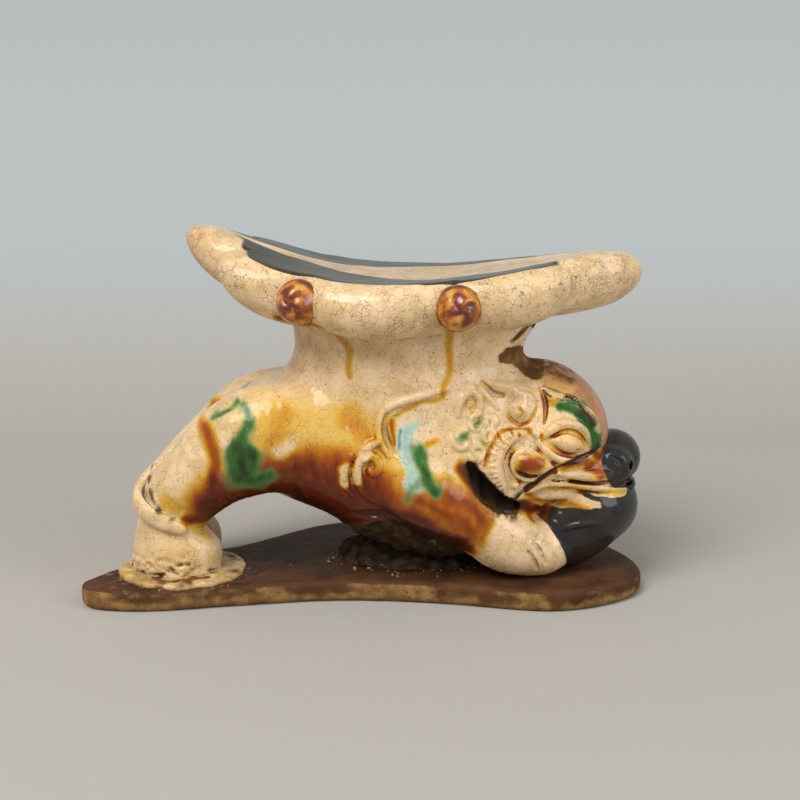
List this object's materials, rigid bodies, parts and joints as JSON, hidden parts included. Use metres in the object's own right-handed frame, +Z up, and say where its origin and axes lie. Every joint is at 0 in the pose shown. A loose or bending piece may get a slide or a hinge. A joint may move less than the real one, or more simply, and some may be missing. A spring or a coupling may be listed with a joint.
{
  "type": "ceramic pillow",
  "caption": "Glazed earthenware pillow: a crouching lion on a leaf-shaped slab carries a lobed, dished headrest on a waisted collar.",
  "frame": {"origin": "on the underside of the slab, in the lion's plane of symmetry, half way along the slab", "axes": "+X from the lion's rump to its nose, +Y across the lion, away from the viewer, +Z up"},
  "size_m": [0.1784, 0.0853, 0.1146],
  "materials": {
    "cream_glaze": "crackled gloss",
    "amber_glaze": "running gloss",
    "green_glaze": "running gloss",
    "black_glaze": "worn gloss",
    "brown_glaze": "worn satin",
    "rough_clay": "rough"
  },
  "bodies": {
    "root": {"base_slab": "brown_glaze", "belly_wad": "rough_clay", "body_near_half": "cream_glaze", "body_far_half": "cream_glaze", "collar": "cream_glaze", "headrest": "cream_glaze", "rim_boss_near_left": "amber_glaze", "rim_boss_near_right": "amber_glaze", "rim_boss_far_left": "amber_glaze", "rim_boss_far_right": "amber_glaze", "hind_foot_pad": "cream_glaze", "hind_leg_near": "amber_glaze", "hind_leg_far": "amber_glaze", "hind_foot_near": "cream_glaze", "hind_foot_far": "cream_glaze", "tail": "cream_glaze", "foreleg_near": "amber_glaze", "foreleg_far": "amber_glaze", "forepaw_near": "cream_glaze", "forepaw_far": "cream_glaze", "skull": "cream_glaze", "forehead_band": "amber_glaze", "lower_jaw": "black_glaze", "upper_jaw": "amber_glaze", "nose": "black_glaze", "upper_lip": "cream_glaze", "lower_lip_near": "cream_glaze", "lower_lip_far": "cream_glaze", "eye_near": "cream_glaze", "eye_far": "cream_glaze", "brow_near": "green_glaze", "brow_far": "green_glaze", "ear_near": "amber_glaze", "ear_far": "amber_glaze", "mane_curls_near": "cream_glaze", "mane_curls_far": "cream_glaze", "shoulder_scroll_near": "cream_glaze", "shoulder_scroll_far": "cream_glaze"}
  },
  "joints": []
}
